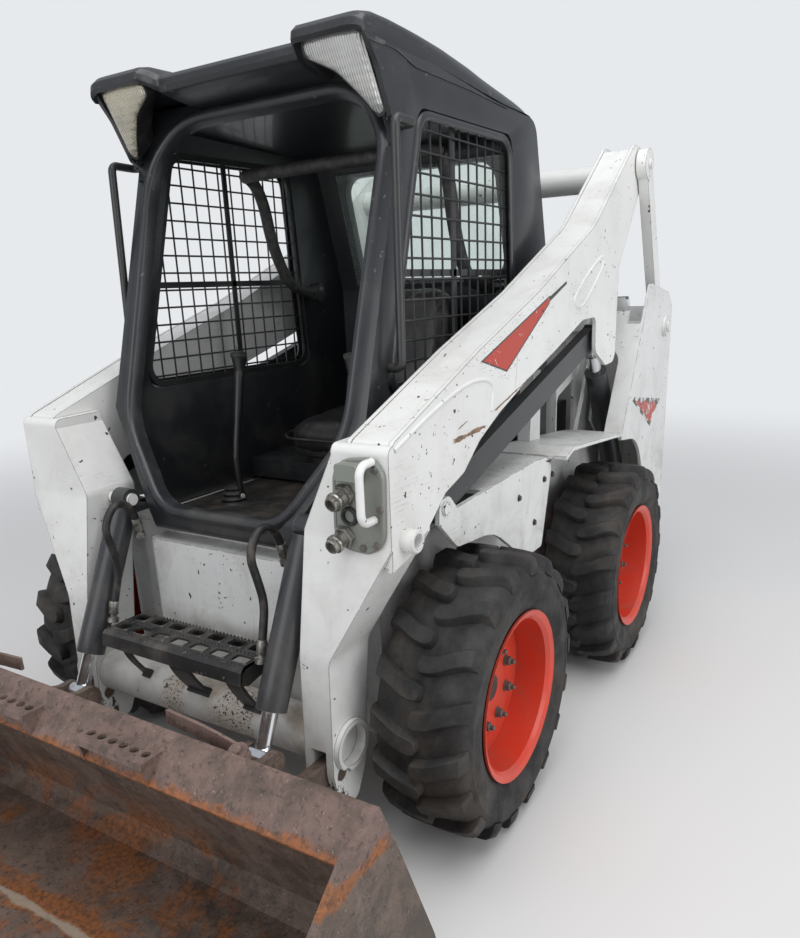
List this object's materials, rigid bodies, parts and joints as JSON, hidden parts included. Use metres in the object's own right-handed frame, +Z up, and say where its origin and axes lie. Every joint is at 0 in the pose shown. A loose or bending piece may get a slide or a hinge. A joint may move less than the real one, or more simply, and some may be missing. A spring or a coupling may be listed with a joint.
{
  "type": "skid steer loader",
  "caption": "Compact wheeled loader with an open steel cab, vertical-lift boom on swinging links, hydraulic cylinders, quick attachment plate and a wide bucket",
  "frame": {"origin": "on the ground, under the middle of the machine's length and width", "axes": "+X points forward towards the bucket, +Y to the machine's left, +Z up"},
  "size_m": [3.4, 1.64, 1.9755],
  "materials": {
    "arm_white": "white paint with scrapes, chips and a tapered red stripe",
    "black_paint": "black paint, worn at the edges",
    "charcoal": "charcoal paint, dusty and worn",
    "chrome_rod": "hard chrome, clean",
    "clear_glass": "clear glass",
    "clear_lens": "ribbed clear lens, slightly yellowed",
    "coupler_steel": "zinc-plated steel, dull",
    "engine_iron": "cast iron, oily",
    "frame_white": "white paint, weathered and chipped",
    "grip_plastic": "black plastic",
    "rim_red": "red-orange paint, glossy",
    "tyre_rubber": "worn black rubber",
    "vinyl": "black vinyl",
    "worn_steel": "bare steel, worn brown with rust"
  },
  "bodies": {
    "root": {"main_frame": "frame_white", "side_frame_left": "frame_white", "side_frame_right": "frame_white", "rear_bumper": "black_paint", "rear_grille": "black_paint", "engine_block": "engine_iron", "axle_housings": "frame_white"},
    "wheel_front_left": {"tyre_front_left": "tyre_rubber", "rim_front_left": "rim_red"},
    "wheel_front_right": {"tyre_front_right": "tyre_rubber", "rim_front_right": "rim_red"},
    "wheel_rear_left": {"tyre_rear_left": "tyre_rubber", "rim_rear_left": "rim_red"},
    "wheel_rear_right": {"tyre_rear_right": "tyre_rubber", "rim_rear_right": "rim_red"},
    "tailgate": {"tailgate": "frame_white"},
    "control_links": {"control_link_left": "charcoal", "control_link_right": "charcoal"},
    "boom": {"boom_arm_left": "arm_white", "boom_arm_right": "arm_white", "boom_cross_tube": "arm_white", "torque_tube": "arm_white", "boom_step": "black_paint", "coupler_block": "coupler_steel", "boom_handle": "arm_white"},
    "rear_links": {"rear_link_left": "arm_white", "rear_link_right": "arm_white"},
    "lift_barrels": {"lift_barrel_left": "black_paint", "lift_barrel_right": "black_paint"},
    "lift_rods": {"lift_rod_left": "chrome_rod", "lift_rod_right": "chrome_rod"},
    "tilt_barrels": {"tilt_barrel_left": "black_paint", "tilt_barrel_right": "black_paint"},
    "tilt_rods": {"tilt_rod_left": "chrome_rod", "tilt_rod_right": "chrome_rod"},
    "bucket": {"quick_attach": "worn_steel", "bucket": "worn_steel"},
    "cab": {"cab_shell": "charcoal", "cab_roof": "charcoal", "side_screen_left": "black_paint", "side_screen_right": "black_paint", "rear_window": "clear_glass", "work_lamp_left": "clear_lens", "work_lamp_right": "clear_lens", "seat": "vinyl", "grab_handles": "black_paint"},
    "seat_bar": {"seat_bar": "black_paint"},
    "steering_lever_left": {"steering_lever_left": "grip_plastic"},
    "steering_lever_right": {"steering_lever_right": "grip_plastic"}
  },
  "joints": [
    {"name": "wheel_front_left", "type": "hinge", "parent": "root", "child": "wheel_front_left", "pos_m": [0.31, 0.644, 0.377], "axis": [0, 1, 0], "continuous": true},
    {"name": "wheel_front_right", "type": "hinge", "parent": "root", "child": "wheel_front_right", "pos_m": [0.31, -0.644, 0.377], "axis": [0, 1, 0], "continuous": true},
    {"name": "wheel_rear_left", "type": "hinge", "parent": "root", "child": "wheel_rear_left", "pos_m": [-0.775, 0.644, 0.377], "axis": [0, 1, 0], "continuous": true},
    {"name": "wheel_rear_right", "type": "hinge", "parent": "root", "child": "wheel_rear_right", "pos_m": [-0.775, -0.644, 0.377], "axis": [0, 1, 0], "continuous": true},
    {"name": "tailgate_swing", "type": "hinge", "parent": "root", "child": "tailgate", "pos_m": [-1.65, -0.486, 0.66], "axis": [0, 0, 1], "range_deg": [0, 110]},
    {"name": "control_link_swing", "type": "hinge", "parent": "root", "child": "control_links", "pos_m": [0.431, 0, 0.898], "axis": [0, -1, 0], "range_deg": [-40.1, 0.1]},
    {"name": "boom_lift", "type": "hinge", "parent": "control_links", "child": "boom", "pos_m": [-0.704, 0, 1.218], "axis": [0, -1, 0], "range_deg": [0, 116.75]},
    {"name": "rear_link_swing", "type": "hinge", "parent": "root", "child": "rear_links", "pos_m": [-1.37, 0, 1.212], "axis": [0, -1, 0], "range_deg": [-22.5, 0.1]},
    {"name": "lift_barrel_swing", "type": "hinge", "parent": "root", "child": "lift_barrels", "pos_m": [-1.4, 0, 0.3], "axis": [0, -1, 0], "range_deg": [-6.5, 0.1]},
    {"name": "lift_rod_slide", "type": "slide", "parent": "lift_barrels", "child": "lift_rods", "axis": [0.5489, 0, 0.8359], "range_m": [-0.001, 0.833]},
    {"name": "bucket_tilt", "type": "hinge", "parent": "boom", "child": "bucket", "pos_m": [0.71, 0, 0.29], "axis": [0, 1, 0], "range_deg": [-28, 62]},
    {"name": "tilt_barrel_swing", "type": "hinge", "parent": "boom", "child": "tilt_barrels", "pos_m": [0.595, 0, 0.862], "axis": [0, 1, 0], "range_deg": [-1.5, 3.2]},
    {"name": "tilt_rod_slide", "type": "slide", "parent": "tilt_barrels", "child": "tilt_rods", "axis": [0.4327, 0, -0.9015], "range_m": [-0.0625, 0.137]},
    {"name": "cab_tip", "type": "hinge", "parent": "root", "child": "cab", "pos_m": [-0.7, 0, 1.352], "axis": [0, 1, 0], "range_deg": [-35, 0]},
    {"name": "seat_bar_swing", "type": "hinge", "parent": "cab", "child": "seat_bar", "pos_m": [-0.38, 0, 1.4], "axis": [0, -1, 0], "range_deg": [-82, 0]},
    {"name": "steering_left", "type": "hinge", "parent": "root", "child": "steering_lever_left", "pos_m": [0.26, 0.207, 0.8], "axis": [0, -1, 0], "range_deg": [-10, 10]},
    {"name": "steering_right", "type": "hinge", "parent": "root", "child": "steering_lever_right", "pos_m": [0.26, -0.207, 0.8], "axis": [0, -1, 0], "range_deg": [-10, 10]}
  ],
  "couplings": [
    {"joint": "control_link_swing", "follows": "boom_lift", "ratio": -0.34319},
    {"joint": "rear_link_swing", "follows": "boom_lift", "ratio": -0.19187},
    {"joint": "lift_barrel_swing", "follows": "boom_lift", "ratio": -0.054429},
    {"joint": "lift_rod_slide", "follows": "boom_lift", "m_per_rad": 0.40783},
    {"joint": "tilt_barrel_swing", "follows": "bucket_tilt", "ratio": 0.05},
    {"joint": "tilt_rod_slide", "follows": "bucket_tilt", "m_per_rad": 0.1257}
  ]
}
